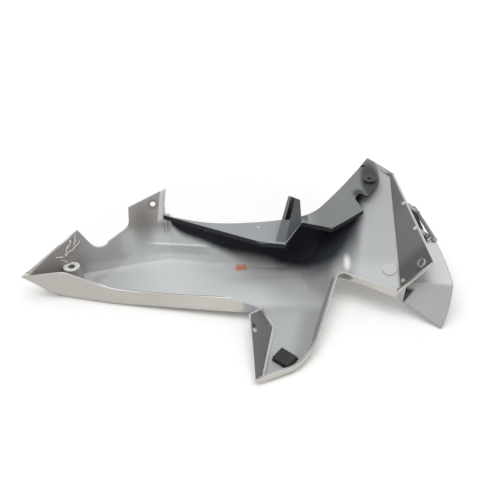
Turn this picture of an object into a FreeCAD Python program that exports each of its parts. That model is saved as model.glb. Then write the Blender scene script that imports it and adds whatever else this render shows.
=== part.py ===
"""Side fairing panel of a motorcycle, lying on its outer face with its inside up.

A moulded outer panel carries an inner trim, a nose cowl with its screws, mesh foam and a foam pad.
X runs along the panel towards its nose, Y across it towards the trim, Z up from the surface it lies on.
"""

import FreeCAD
import Part
import math
import os
from FreeCAD import Vector

# Outer panel: thickness of the moulding, radius of its outer edges and of the coves inside its walls
WALL = 3.0
SKIN = 2.6
EDGE = 5.0
COVE = 16.0
LIP_SHARE = 0.4

# Outer panel: tail at the low end of X
TAIL_X = -314.0
TAIL_Y = -62.0
TAIL_Z = 38.0
TAIL_CURL_X = -255.0
TAIL_CURL = 36.0
TAIL_CURL_POWER = 2.0
PEAK_X = -243.0
PEAK_Y = -8.0
PEAK_Z = 79.0
NEAR_PEAK_X = -256.0
NEAR_PEAK_Y = -58.0
NEAR_PEAK_Z = 42.0

# Outer panel: near wall and back wall
NEAR_DIP_X = -187.0
NEAR_DIP_Y = -73.0
NEAR_DIP_Z = 24.0
NEAR_END_X = -24.0
NEAR_END_Y = -97.0
NEAR_END_Z = 29.0
BACK_LEFT_X = -60.0
BACK_RIGHT_X = 60.0
BACK_Y = 9.0
BACK_SKEW = 9.0
BACK_Z = 64.0
BACK_RISE = 10.0

# Outer panel: fixing tab on the back wall, and the notch beside it
TAB_LEFT_X = -175.0
TAB_LEFT_Y = 37.0
TAB_LEFT_Z = 90.0
TAB_WIDTH = 54.0
TAB_SKEW = 16.0
TAB_RISE = 22.0
TAB_HOLE_R = 4.0
TAB_HOLE = (0.615, 0.88)
TAB_RIB = 5.0
TAB_LEAN = 5.0
NOTCH_START = 0.19
NOTCH_END = 0.51
NOTCH_FLOOR = 0.50
NOTCH_FOOT = 0.70

# Outer panel: tail boss
TAIL_BOSS_X = -252.0
TAIL_BOSS_Y = -29.0
TAIL_BOSS_Z = 32.0
TAIL_BOSS_R = 11.5
TAIL_BOSS_FLARE = 5.0
TAIL_BOSS_HOLE_R = 5.0
TAIL_BOSS_HOLE_DEPTH = 18.0

# Outer panel: arm at the low end of Y, with its fixing flange
ARM_TIP_X = 5.0
ARM_TIP_Y = -228.0
ARM_TIP_Z = 9.0
ARM_SIDE_X = 83.0
ARM_SIDE_Y = -176.0
ARM_SIDE_Z = 18.0
ARM_FLANGE_X = -1.5
ARM_FLANGE_Y = -130.0
ARM_FLANGE_Z = 30.0
ARM_FLANGE_WIDTH = 30.0
ARM_HOLE_R = 2.5
ARM_HOLE = (0.78, 0.785)
ARM_STEP = 2.0
ARM_STEP_WIDTH = 3.0

# Outer panel: wing at the high end of X, with its flange
CROTCH_X = 122.0
CROTCH_Y = -57.0
CROTCH_Z = 45.0
WING_NEAR_X = 195.0
WING_NEAR_Y = -95.0
WING_LEVEL = 31.0
WING_SLOPE = 0.285
WING_ROLL = 0.08
WING_START = 55.0
WING_FULL = 150.0
WING_LEFT_X = 184.0
WING_LEFT_Y = 156.0
WING_RIGHT_X = 220.0
WING_RIGHT_Y = 118.0
WING_LIP = 6.0
WING_NEAR_LIP = 9.0
APEX_X = 242.0
APEX_Y = -89.0
APEX_Z = 82.0
WING_PAD_X = 191.0
WING_PAD_Y = -55.0
WING_PAD_R = 9.0
WING_PAD_RISE = 2.0
DIMPLE_ALONG = 0.93
DIMPLE_UP = 0.70
DIMPLE_R = 6.5
DIMPLE_RISE = 1.6

# Outer panel: dome of the floor
DOME = 12.0
DOME_X = 60.0
DOME_Y = -110.0
DOME_LENGTH = 150.0
DOME_WIDTH = 90.0

# Inner trim, a plate that stands on the back wall and on the wing
TRIM_LEVEL = 78.0
TRIM_SLOPE = 0.25
TRIM_BEND_Y = 5.0
TRIM_BEND = 20.0
TRIM_RISE_START = 40.0
TRIM_RISE_FULL = 150.0
TRIM_SKIN = 2.6
TRIM_LIP = 7.0
TRIM_TIP_X = -126.0
TRIM_TIP_Y = 34.0
TRIM_HOLE_X = 12.0
TRIM_HOLE_Y = 2.0
TRIM_HOLE_R = 2.5
TRIM_LEG_X = 32.0
TRIM_LEG_LENGTH = 24.0
TRIM_LEG_DEPTH = 6.0
TRIM_BOSS_X = 179.0
TRIM_BOSS_Y = 96.0
TRIM_BOSS_R = 10.0
TRIM_BOSS_RISE = 3.0
TRIM_BOSS_HOLE_R = 3.2
TRIM_BOSS_HOLE_DEPTH = 16.0
TRIM_SLOT_LENGTH = 8.0
TRIM_SLOT_WIDTH = 4.0
FIN_X = 34.0
FIN_Y = -38.0
FIN_RUN = 40.0
FIN_DEPTH = 51.0
FIN_TOP = 119.0
FIN_WALL = 2.4
FIN_OPENING = 20.0

# Nose cowl on the wing's flange: its corners, its posts and bar, its screws and its foam
COWL_SKIN = 2.6
COWL_HEAD = Vector(255.0, -17.0, 75.0)
COWL_SHOULDER = Vector(271.0, -86.0, 46.0)
COWL_TIP = Vector(253.0, -126.0, 1.7)
COWL_HEEL = Vector(207.1, -94.0, 21.3)
COWL_THROAT = Vector(214.0, -77.0, 40.0)
COWL_NECK = Vector(245.3, -25.2, 69.5)
BROW_BULGE = 4.0
CHEEK_BULGE = 6.0
BAR_WIDTH = 6.0
BAR_DEPTH = 4.0
BAR_OVERLAP = 10.0
BAR_HORN = 18.0
POST_R = 3.6
POST_TOP_LENGTH = 29.0
POST_MID_LENGTH = 24.5
POST_LOW_LENGTH = 9.0
SCREWS = ((0.355, 0.83), (0.64, 0.90), (0.95, 0.13))
SCREW_R = 1.6
SCREW_CLEARANCE = 0.2
SCREW_HEAD_R = 3.0
SCREW_HEAD = 1.8
SCREW_HEAD_GAP = 0.1
SCREW_LENGTH = 9.0
MESH_TOP = 25.5
MESH_LOW = 18.5

# Foam pad
PAD_LENGTH = 24.0
PAD_WIDTH = 20.0
PAD_HEIGHT = 7.0
PAD_X = 43.0
PAD_Y = -193.0
PAD_TURN = -38.0

# Clearance between pieces that seat on one another
SEAT = 0.05

# Grid that the freeform surfaces are drawn through, and a length that passes right through
GRID_STEP_X = 33.0
GRID_STEP_Y = 47.0
GRID_LOW = Vector(-350.0, -270.0, 0.0)
GRID_HIGH = Vector(310.0, 200.0, 0.0)
TALL = 300.0

# Largest fold, in degrees, across a wall that is drawn flat
FLAT_ANGLE = 3.0
UP = Vector(0.0, 0.0, 1.0)


def smooth_step(value, low, high):
    """0 below low, 1 above high and an S-shaped rise between them."""
    share = min(1.0, max(0.0, (value - low) / (high - low)))
    return share * share * (3.0 - 2.0 * share)


def floor_height(x, y):
    """Height of the outer panel's outer face."""
    curl = TAIL_CURL * max(0.0, (x - TAIL_CURL_X) / (TAIL_X - TAIL_CURL_X)) ** TAIL_CURL_POWER
    across = ((x - DOME_X) / DOME_LENGTH) ** 2 + ((y - DOME_Y) / DOME_WIDTH) ** 2
    base = curl + DOME * math.exp(-across)
    wing = WING_LEVEL + WING_SLOPE * (y - WING_NEAR_Y) + WING_ROLL * (x - WING_NEAR_X)
    share = smooth_step(x, WING_START, WING_FULL)
    return base + share * (wing - base)


def trim_height(x, y):
    """Height of the inner trim's top face."""
    run = y - TRIM_BEND_Y
    rise = TRIM_SLOPE * (run + math.hypot(run, TRIM_BEND)) / 2
    return TRIM_LEVEL + rise * smooth_step(x, TRIM_RISE_START, TRIM_RISE_FULL)


def height_surface(height):
    """Freeform face through the heights that a function of x and y gives."""
    columns = math.ceil((GRID_HIGH.x - GRID_LOW.x) / GRID_STEP_X)
    rows = math.ceil((GRID_HIGH.y - GRID_LOW.y) / GRID_STEP_Y)
    grid = []
    for i in range(columns + 1):
        x = GRID_LOW.x + i * GRID_STEP_X
        grid.append([height(x, GRID_LOW.y + j * GRID_STEP_Y) for j in range(rows + 1)])
    surface = Part.BSplineSurface()
    surface.interpolate(grid, GRID_LOW.x, GRID_STEP_X, GRID_LOW.y, GRID_STEP_Y)
    return surface.toShape()


FLOOR_FACE = height_surface(floor_height)
TRIM_FACE = height_surface(trim_height)


def layer(face, low, high):
    """Solid between two copies of a freeform face, at heights low and high above it."""
    return face.translated(UP * low).extrude(UP * (high - low))


class Corner:
    """One corner of the outer panel: where its wall stands on the floor, and the top of the wall."""

    def __init__(self, floor, rim, rounding=0.0, cove=COVE):
        self.floor = Vector(floor[0], floor[1], floor_height(floor[0], floor[1]))
        self.rim = Vector(*rim)
        self.rounding = rounding
        self.tall = self.rim.z - self.floor.z
        self.cove = min(cove, LIP_SHARE * self.tall)
        self.edge = min(EDGE, LIP_SHARE * self.tall, self.cove + WALL / 2)

    def at(self, height):
        """Point of the wall's outer side at a height above the floor."""
        return self.floor + (self.rim - self.floor) * (height / self.tall)


def corner_between(first, second, cove):
    """Corner half way along the straight wall between two others, where the floor under it bends."""
    foot = (first.floor + second.floor) * 0.5
    return Corner((foot.x, foot.y), (first.rim + second.rim) * 0.5, 0, cove)


def wing_rim(x, y, lip):
    """Top of a lip of the given height at the edge of the wing."""
    return (x, y, floor_height(x, y) + lip)


def flat_foot(top, foot_y, apex):
    """Foot on the wing, at foot_y, that keeps the wall from the corner with this top to the apex flat."""
    normal = (apex.rim - top).cross(apex.floor - top)
    rise = floor_height(top.x, foot_y) - top.z
    run = (normal.y * (foot_y - top.y) + normal.z * rise) / (normal.x + normal.z * WING_ROLL)
    return (top.x - run, foot_y)


def panel_corners():
    """The outer panel's corners by name, clockwise from the tip of the tail."""
    tab_right = TAB_LEFT_X + TAB_WIDTH
    tab_y = TAB_LEFT_Y + TAB_SKEW
    tab_z = TAB_LEFT_Z + TAB_RISE
    back_y = BACK_Y + BACK_SKEW
    base_x = ARM_FLANGE_X + ARM_FLANGE_WIDTH
    turn_x = ARM_FLANGE_X + ARM_FLANGE_WIDTH / 2
    turn_y = ARM_FLANGE_Y + ARM_FLANGE_WIDTH / 2
    apex = Corner((WING_NEAR_X + 8, WING_NEAR_Y + 7), (APEX_X, APEX_Y, APEX_Z), 0, 0.5)
    wing_right = Vector(*wing_rim(WING_RIGHT_X, WING_RIGHT_Y, WING_LIP))
    tail = Corner((TAIL_X + 7, TAIL_Y + 6), (TAIL_X, TAIL_Y, TAIL_Z), 0, 2)
    peak = Corner((PEAK_X + 2, PEAK_Y + 3), (PEAK_X, PEAK_Y, PEAK_Z))
    near_peak = Corner((NEAR_PEAK_X - 1, NEAR_PEAK_Y - 2), (NEAR_PEAK_X, NEAR_PEAK_Y, NEAR_PEAK_Z), 8)
    return {
        "tail": tail,
        "flap": corner_between(tail, peak, COVE / 2),
        "peak": peak,
        "tab_left": Corner((TAB_LEFT_X + 7, TAB_LEFT_Y - 20), (TAB_LEFT_X, TAB_LEFT_Y, TAB_LEFT_Z), 6),
        "tab_right": Corner((tab_right + 5, TAB_LEFT_Y - 7), (tab_right, tab_y, tab_z)),
        "back_start": Corner(
            (tab_right + 11, TAB_LEFT_Y - 7), (tab_right + 8, TAB_LEFT_Y - 1, BACK_Z + BACK_RISE)
        ),
        "back_left": Corner((BACK_LEFT_X, BACK_Y + 13), (BACK_LEFT_X, BACK_Y, BACK_Z), 14),
        "back_right": Corner((BACK_RIGHT_X, back_y + 4), (BACK_RIGHT_X, back_y, BACK_Z), 10),
        "wing_foot": Corner(
            (BACK_RIGHT_X + 32, back_y + 8), (BACK_RIGHT_X + 35, back_y + 12, BACK_Z + 6), 16
        ),
        "wing_left": Corner(
            (WING_LEFT_X - 4, WING_LEFT_Y - 8), wing_rim(WING_LEFT_X, WING_LEFT_Y, WING_LIP), 0, 2
        ),
        "wing_right": Corner(flat_foot(wing_right, WING_RIGHT_Y - 3, apex), wing_right, 0, 1),
        "apex": apex,
        "wing_near": Corner(
            (WING_NEAR_X - 1, WING_NEAR_Y - 3), wing_rim(WING_NEAR_X, WING_NEAR_Y, WING_NEAR_LIP), 0, 0.5
        ),
        "crotch": Corner((CROTCH_X - 2, CROTCH_Y + 1), (CROTCH_X, CROTCH_Y, CROTCH_Z), 12, 6),
        "arm_side": Corner((ARM_SIDE_X - 3, ARM_SIDE_Y), (ARM_SIDE_X, ARM_SIDE_Y, ARM_SIDE_Z), 14, 5),
        "arm_corner": Corner(
            (ARM_SIDE_X - 22, ARM_SIDE_Y - 29), (ARM_SIDE_X - 22, ARM_SIDE_Y - 27, ARM_SIDE_Z - 7), 14, 3
        ),
        "arm_tip": Corner((ARM_TIP_X + 8, ARM_TIP_Y), (ARM_TIP_X, ARM_TIP_Y, ARM_TIP_Z), 4, 2),
        "arm_flange": Corner((base_x, ARM_FLANGE_Y - 8), (ARM_FLANGE_X, ARM_FLANGE_Y, ARM_FLANGE_Z), 0, 1),
        "arm_turn": Corner((turn_x + 1, turn_y + 9), (turn_x, turn_y - 1, ARM_FLANGE_Z - 2), 0, 2),
        "near_end": Corner((NEAR_END_X + 2, NEAR_END_Y - 8), (NEAR_END_X, NEAR_END_Y, NEAR_END_Z), 14),
        "near_dip": Corner((NEAR_DIP_X, NEAR_DIP_Y - 3), (NEAR_DIP_X, NEAR_DIP_Y, NEAR_DIP_Z), 20),
        "near_peak": near_peak,
        "tail_near": corner_between(near_peak, tail, COVE / 2),
    }


def inset(points, distances):
    """The same loop of points moved level to the inside, with mitred corners."""
    moved = []
    for i, point in enumerate(points):
        before = point - points[i - 1]
        after = points[(i + 1) % len(points)] - point
        normals = []
        for run in (before, after):
            normal = Vector(run.y, -run.x, 0)
            normals.append(normal.normalize())
        mitre = (normals[0] + normals[1]) * (distances[i] / (1.0 + normals[0].dot(normals[1])))
        moved.append(point + mitre)
    return moved


def rounded_edges(points, roundings):
    """Edges of a closed loop, straight between the corners and curved round each corner with a rounding."""
    edges = []
    starts = []
    ends = []
    for i, point in enumerate(points):
        before = points[i - 1] - point
        after = points[(i + 1) % len(points)] - point
        starts.append(point + before.normalize() * roundings[i])
        ends.append(point + after.normalize() * roundings[i])
    for i, point in enumerate(points):
        if roundings[i] > 0:
            curve = Part.BezierCurve()
            curve.setPoles([starts[i], point, ends[i]])
            edges.append(curve.toShape())
        edges.append(Part.makeLine(ends[i], starts[(i + 1) % len(points)]))
    return edges


def solid_of(faces):
    """Solid inside a closed set of faces."""
    shell = Part.makeShell(faces)
    shell.sewShape()
    solid = Part.makeSolid(shell)
    if solid.Volume < 0:
        solid.reverse()
    return solid


def in_plane(point, first, second, third):
    """The point moved squarely into the plane of three others."""
    normal = (second - first).cross(third - first).normalize()
    return point - normal * (point - first).dot(normal)


def faces_between(first, second):
    """Faces from one edge to another that runs the same way: flat ones, or a ruled one where it twists."""
    start = first.valueAt(first.FirstParameter)
    end = first.valueAt(first.LastParameter)
    other_start = second.valueAt(second.FirstParameter)
    other_end = second.valueAt(second.LastParameter)
    normal = (end - start).cross(other_start - start)
    other_normal = (other_start - other_end).cross(end - other_end)
    straight = all(isinstance(edge.Curve, Part.Line) for edge in (first, second))
    if not straight or math.degrees(normal.getAngle(other_normal)) > FLAT_ANGLE:
        return [Part.makeRuledSurface(first, second, 1)]
    across = Part.makeLine(end, other_start)
    lower = Part.Wire([first, across, Part.makeLine(other_start, start)])
    upper = Part.Wire([second, Part.makeLine(other_end, end), across])
    return [Part.Face(lower), Part.Face(upper)]


def ring_solid(loops):
    """Solid ring whose section is the closed polygon of the given edge loops."""
    faces = []
    for k, loop in enumerate(loops):
        other = loops[(k + 1) % len(loops)]
        for first, second in zip(loop, other):
            faces += faces_between(first, second)
    return solid_of(faces)


def prism(edges, low, high):
    """Upright prism on a level closed loop of edges."""
    face = Part.Face(Part.Wire(edges))
    return face.translated(UP * low).extrude(UP * (high - low))


def block(lower, upper):
    """Solid between two loops of four points, joined corner to corner."""
    sides = []
    for i in range(4):
        j = (i + 1) % 4
        low = Part.makeLine(lower[i], lower[j])
        sides += faces_between(low, Part.makeLine(upper[i], upper[j]))
    for loop in (lower, upper):
        first = Part.makeLine(loop[0], loop[1])
        sides += faces_between(first, Part.makeLine(loop[3], loop[2]))
    return solid_of(sides)


def plan_prism(points, roundings=None, low=-TALL / 4, high=TALL):
    """Upright prism on a loop of plan points."""
    flat = [Vector(p[0], p[1], 0) for p in points]
    return prism(rounded_edges(flat, roundings or [0.0] * len(flat)), low, high)


def cylinder(center, axis, radius, back, ahead):
    """Cylinder along an axis, from back behind the center to ahead in front of it."""
    unit = Vector(axis).normalize()
    return Part.makeCylinder(radius, back + ahead, center - unit * back, unit)


class WallFace:
    """The outer side of the wall between two corners, as places along it and up it from 0 to 1."""

    def __init__(self, first, second):
        self.first = first
        self.second = second

    def at(self, along, up):
        foot = self.first.floor + (self.second.floor - self.first.floor) * along
        top = self.first.rim + (self.second.rim - self.first.rim) * along
        return foot + (top - foot) * up

    def normal(self, along, up):
        """Unit direction out of the panel."""
        run = self.at(along + 0.01, up) - self.at(along - 0.01, up)
        rise = self.at(along, up + 0.01) - self.at(along, up - 0.01)
        return rise.cross(run).normalize()


def panel_shell(corners):
    """Floor and walls of the outer panel."""
    roundings = [corner.rounding for corner in corners]
    count = len(corners)
    under = 14.0
    floors = [corner.floor for corner in corners]
    rims = [corner.rim for corner in corners]
    edges = [corner.edge for corner in corners]
    coves = [WALL + corner.cove for corner in corners]
    half_edges = [0.3 * edge for edge in edges]
    half_coves = [WALL + 0.3 * corner.cove for corner in corners]
    walls = [WALL] * count
    foot = [floor - UP * under for floor in floors]
    embed = [floor + UP * (SKIN - 1.0) for floor in floors]
    loops = [
        inset(foot, edges),
        inset(floors, edges),
        inset([corner.at(0.3 * corner.edge) for corner in corners], half_edges),
        [corner.at(corner.edge) for corner in corners],
        rims,
        inset(rims, walls),
        inset([corner.at(SKIN + corner.cove) for corner in corners], walls),
        inset([corner.at(SKIN + 0.3 * corner.cove) for corner in corners], half_coves),
        inset(embed, coves),
        inset(foot, coves),
    ]
    ring = ring_solid([rounded_edges(loop, roundings) for loop in loops])
    middle = inset(floors, [edge + 1.0 for edge in edges])
    floor = layer(FLOOR_FACE, 0, SKIN).common(plan_prism(middle, roundings))
    return ring.cut(layer(FLOOR_FACE, -TALL, 0)).fuse(floor)


def notch_cutter(corners):
    """Everything above the sunken stretch of the back wall between the tail's peak and the tab."""
    wall = WallFace(corners["peak"], corners["tab_left"])
    run = wall.at(1, 0) - wall.at(0, 0)
    along = Vector(run.x, run.y, 0).normalize()
    across = Vector(-along.y, along.x, 0)
    places = [
        (0.02, 1.0),
        (NOTCH_START, NOTCH_FLOOR + 0.15),
        (NOTCH_START + 0.12, NOTCH_FLOOR - 0.02),
        (NOTCH_END, NOTCH_FLOOR + 0.02),
        (NOTCH_END + 0.01, NOTCH_FLOOR + 0.06),
        (0.95, NOTCH_FOOT),
        (0.99, 1.0),
        (0.99, 1.3),
        (0.02, 1.3),
    ]
    points = []
    for place in places:
        offset = wall.at(*place) - wall.at(0, 0)
        points.append(wall.at(0, 0) + along * offset.dot(along) + UP * offset.z)
    edges = rounded_edges(points, [0, 3, 12, 2, 0, 8, 0, 0, 0])
    face = Part.Face(Part.Wire(edges))
    return face.translated(across * -40).extrude(across * 80)


def tab_cutter():
    """Everything to the right of the fixing tab's end, which leans back over the tab."""
    right = TAB_LEFT_X + TAB_WIDTH
    top = TAB_LEFT_Z + TAB_RISE
    low = BACK_Z + BACK_RISE
    points = [
        Vector(right - 0.5, 0, top),
        Vector(right - 0.5, 0, top + 10),
        Vector(right + 20, 0, top + 10),
        Vector(right + 20, 0, low),
        Vector(right - TAB_LEAN, 0, low),
    ]
    face = Part.Face(Part.Wire(rounded_edges(points, [0] * 5)))
    return face.extrude(Vector(0, TALL, 0))


def tail_boss(corners):
    """Hollow boss beside the tail's flap, without its hole."""
    low = floor_height(TAIL_BOSS_X, TAIL_BOSS_Y) + SKIN / 2
    foot = Vector(TAIL_BOSS_X, TAIL_BOSS_Y, low)
    cone = Part.makeCone(TAIL_BOSS_R + TAIL_BOSS_FLARE, TAIL_BOSS_R, TAIL_BOSS_Z - low, foot, UP)
    floors = [corner.floor for corner in corners.values()]
    return cone.common(plan_prism(inset(floors, [WALL / 2] * len(floors))))


def tab_rib(corners):
    """Rib that stiffens the upright end of the fixing tab."""
    wall = WallFace(corners["tab_left"], corners["tab_right"])
    loops = []
    for up, width in ((0.45, TAB_RIB), (0.98, TAB_RIB / 2)):
        inward = wall.normal(1, up) * -1
        along = (wall.at(1, up) - wall.at(0, up)).normalize()
        start = wall.at(1, up) + inward * (WALL / 2) - along * (width + TAB_LEAN)
        points = [
            start,
            start + along * width,
            start + along * width + inward * (width + WALL / 2),
            start + along * (width / 2) + inward * (width + WALL / 2),
        ]
        loops.append(points)
    return block(loops[0], loops[1])


def wing_pad():
    """Round raised pad on the wing's floor."""
    center = Vector(WING_PAD_X, WING_PAD_Y, floor_height(WING_PAD_X, WING_PAD_Y) + SKIN)
    return cylinder(center, Vector(-WING_ROLL, -WING_SLOPE, 1), WING_PAD_R, SKIN / 2, WING_PAD_RISE)


def flange_dimple(flange):
    """Round dimpled stiffener on the wing's flange."""
    place = flange.at(DIMPLE_ALONG, DIMPLE_UP)
    inward = flange.normal(DIMPLE_ALONG, DIMPLE_UP) * -1
    disc = cylinder(place, inward, DIMPLE_R, -1.0, WALL + DIMPLE_RISE)
    hollow = cylinder(place, inward, DIMPLE_R - 2.2, -WALL, WALL + DIMPLE_RISE + 1)
    return disc.cut(hollow)


def arm_step(corners):
    """Raised step along the foot of the arm's fixing flange."""
    names = ("arm_turn", "arm_flange", "arm_tip")
    line = [corners[name].floor for name in names]
    outer = []
    inner = []
    for point, shift in zip(line, (Vector(3, -6, 0), Vector(1, 0, 0), Vector(1, 6, 0))):
        outer.append(point + shift)
        inner.append(point + shift + Vector(ARM_STEP_WIDTH, 0, 0))
    strip = plan_prism(outer + inner[::-1])
    return layer(FLOOR_FACE, SKIN / 2, SKIN + ARM_STEP).common(strip)


def outer_panel(corners):
    """The moulded outer panel with its tab, bosses and holes."""
    flange = WallFace(corners["wing_right"], corners["apex"])
    shape = panel_shell(list(corners.values())).cut([notch_cutter(corners), tab_cutter()])
    added = [tail_boss(corners), tab_rib(corners), wing_pad(), flange_dimple(flange), arm_step(corners)]
    shape = shape.fuse(added)
    holes = []
    boss_top = Vector(TAIL_BOSS_X, TAIL_BOSS_Y, TAIL_BOSS_Z)
    holes.append(cylinder(boss_top, UP, TAIL_BOSS_HOLE_R, TAIL_BOSS_HOLE_DEPTH, 5))
    tab = WallFace(corners["tab_left"], corners["tab_right"])
    holes.append(cylinder(tab.at(*TAB_HOLE), tab.normal(*TAB_HOLE), TAB_HOLE_R, 15, 15))
    arm = WallFace(corners["arm_tip"], corners["arm_flange"])
    holes.append(cylinder(arm.at(*ARM_HOLE), arm.normal(*ARM_HOLE), ARM_HOLE_R, 8, 8))
    for place in SCREWS:
        holes.append(cylinder(flange.at(*place), flange.normal(*place), SCREW_R + SCREW_CLEARANCE, 8, 8))
    return shape.cut(holes).removeSplitter()


def open_edges(points, roundings):
    """Edges of an open line of plan points, curved round each corner that has a rounding."""
    flat = [Vector(p[0], p[1], 0) for p in points]
    edges = []
    start = flat[0]
    for i in range(1, len(flat) - 1):
        before = (flat[i - 1] - flat[i]).normalize()
        after = (flat[i + 1] - flat[i]).normalize()
        first = flat[i] + before * roundings[i]
        last = flat[i] + after * roundings[i]
        edges.append(Part.makeLine(start, first))
        if roundings[i] > 0:
            curve = Part.BezierCurve()
            curve.setPoles([first, flat[i], last])
            edges.append(curve.toShape())
        start = last
    edges.append(Part.makeLine(start, flat[-1]))
    return edges


def trim_near_edge():
    """Corners of the trim's near edge, from its tip to its fixing lobe, each with a rounding."""
    return [
        (TRIM_TIP_X, TRIM_TIP_Y, 0),
        (FIN_X - 18, FIN_Y + 2, 16),
        (FIN_X + 14, FIN_Y - 3, 4),
        (FIN_X + FIN_RUN, FIN_Y + FIN_DEPTH, 3),
        (FIN_X + FIN_RUN + 41, FIN_Y + FIN_DEPTH - 16, 5),
        (TRIM_BOSS_X - 15, TRIM_BOSS_Y - 61, 5),
        (TRIM_BOSS_X - 26, TRIM_BOSS_Y - 38, 5),
        (TRIM_BOSS_X - 18, TRIM_BOSS_Y - 27, 3),
        (TRIM_BOSS_X - 5, TRIM_BOSS_Y - 34, 4),
        (TRIM_BOSS_X + 16, TRIM_BOSS_Y - 4, 10),
        (TRIM_BOSS_X + 15, TRIM_BOSS_Y + 40, 10),
        (TRIM_BOSS_X + 2, TRIM_BOSS_Y + 47, 0),
    ]


def trim_prism():
    """Upright prism on the trim's outline."""
    near = trim_near_edge()
    far = [
        near[-1],
        (TRIM_BOSS_X - 37, TRIM_BOSS_Y - 8, 25),
        (BACK_RIGHT_X + 30, BACK_Y + 23, 22),
        (TRIM_HOLE_X, TRIM_HOLE_Y + 11, 40),
        (BACK_LEFT_X, BACK_Y + 2, 30),
        near[0],
    ]
    edges = open_edges(near, [corner[2] for corner in near])
    edges += open_edges(far, [corner[2] for corner in far])
    return prism(edges, -TALL / 4, TALL)


def trim_lip():
    """Lip that hangs from the trim's near edge."""
    near = [Vector(corner[0], corner[1], 0) for corner in trim_near_edge()[:6]]
    inner = []
    for i, point in enumerate(near):
        before = near[max(i, 1)] - near[max(i, 1) - 1]
        after = near[min(i + 1, 5)] - near[min(i + 1, 5) - 1]
        normals = [Vector(-run.y, run.x, 0).normalize() for run in (before, after)]
        mitre = (normals[0] + normals[1]) * (TRIM_SKIN / (1.0 + normals[0].dot(normals[1])))
        inner.append(point + mitre)
    return layer(TRIM_FACE, -TRIM_LIP, -TRIM_SKIN / 2).common(plan_prism(near + inner[::-1]))


def fin():
    """Hollow tapered fin on the trim's near edge, open at its top and its upper front."""
    base = TRIM_LEVEL - TRIM_SKIN / 2
    feet = [
        Vector(FIN_X, FIN_Y + 1, base),
        Vector(FIN_X + 13, FIN_Y - 1.5, base),
        Vector(FIN_X + FIN_RUN - 0.5, FIN_Y + FIN_DEPTH - 1, base),
        Vector(FIN_X + FIN_RUN - 21, FIN_Y + FIN_DEPTH + 3, base),
    ]
    crown = Vector(FIN_X + FIN_RUN - 10, FIN_Y + FIN_DEPTH, FIN_TOP)
    tops = [crown + Vector(-11, -1, 3), crown + Vector(-1.5, -3, 2)]
    tops.append(in_plane(crown + Vector(3.9, 9.6, -8.3), feet[1], feet[2], tops[1]))
    tops.append(in_plane(crown + Vector(-3, 4, 0), feet[0], feet[3], tops[0]))
    leans = [(top - foot) * (1.0 / (top.z - foot.z)) for foot, top in zip(feet, tops)]
    walls = [-FIN_WALL] * 4
    low = [point + lean * TRIM_SKIN for point, lean in zip(inset(feet, walls), leans)]
    high = [point + lean * FIN_WALL for point, lean in zip(inset(tops, walls), leans)]
    hollow = block(low, high)
    window = Part.makeBox(60, 60, 60, Vector(crown.x - 34, crown.y - 40, FIN_TOP - FIN_OPENING))
    opening = hollow.common(window).translated(Vector(0, -2 * FIN_WALL, 0))
    return block(feet, tops).cut([hollow, opening])


def trim_boss():
    """Fixing boss of the trim, which stands on the wing's floor, without its hole."""
    foot = Vector(TRIM_BOSS_X, TRIM_BOSS_Y, floor_height(TRIM_BOSS_X, TRIM_BOSS_Y))
    top = trim_height(TRIM_BOSS_X, TRIM_BOSS_Y) + TRIM_BOSS_RISE
    post = Part.makeCylinder(TRIM_BOSS_R, top - foot.z, foot, UP)
    return post.cut(layer(FLOOR_FACE, -TALL, SKIN + SEAT))


def trim_leg(x):
    """Leg under the trim that stands on the rim of the back wall."""
    share = (x - BACK_LEFT_X) / (BACK_RIGHT_X - BACK_LEFT_X)
    y = BACK_Y + BACK_SKEW * share - WALL / 2
    corner = Vector(x - TRIM_LEG_LENGTH / 2, y - TRIM_LEG_DEPTH / 2, BACK_Z + SEAT)
    return Part.makeBox(TRIM_LEG_LENGTH, TRIM_LEG_DEPTH, TRIM_LEVEL - TRIM_SKIN / 2 - corner.z, corner)


def inner_trim():
    """The dark trim plate with its fin, lip, legs and boss."""
    outline = trim_prism()
    plate = layer(TRIM_FACE, -TRIM_SKIN, 0).common(outline)
    legs = [trim_leg(-TRIM_LEG_X).common(outline), trim_leg(TRIM_LEG_X).common(outline)]
    shape = plate.fuse([trim_lip(), fin(), trim_boss()] + legs)
    boss_top = Vector(TRIM_BOSS_X, TRIM_BOSS_Y, trim_height(TRIM_BOSS_X, TRIM_BOSS_Y) + TRIM_BOSS_RISE)
    hole = Vector(TRIM_HOLE_X, TRIM_HOLE_Y, TRIM_LEVEL)
    slot = Vector(TRIM_BOSS_X - 11, TRIM_BOSS_Y + 29, TRIM_LEVEL)
    cuts = [
        cylinder(boss_top, UP, TRIM_BOSS_HOLE_R, TRIM_BOSS_HOLE_DEPTH, 5),
        cylinder(hole, UP, TRIM_HOLE_R, 10, 10),
        Part.makeBox(TRIM_SLOT_LENGTH, TRIM_SLOT_WIDTH, TALL / 4, slot),
    ]
    return shape.cut(cuts).removeSplitter()


def post_ends(flange):
    """Far ends of the cowl's three posts, out from the flange along its screws."""
    lengths = (POST_TOP_LENGTH, POST_MID_LENGTH, POST_LOW_LENGTH)
    return [flange.at(*place) + flange.normal(*place) * length for place, length in zip(SCREWS, lengths)]


def bowed_edge(start, end, beside, bulge):
    """Edge from start to end that bows away from the point beside it, in the plane of all three."""
    along = (end - start).normalize()
    away = start - beside
    away = away - along * away.dot(along)
    curve = Part.BezierCurve()
    curve.setPoles([start, (start + end) * 0.5 + away.normalize() * bulge, end])
    return curve.toShape()


def square_bar(start, end, side, width, depth):
    """Straight bar of rectangular section between two points."""
    along = (end - start).normalize()
    first = (side - along * side.dot(along)).normalize() * (width / 2)
    second = along.cross(first).normalize() * (depth / 2)
    section = [first + second, second - first, first * -1 - second, first - second]
    return block([start + corner for corner in section], [end + corner for corner in section])


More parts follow.
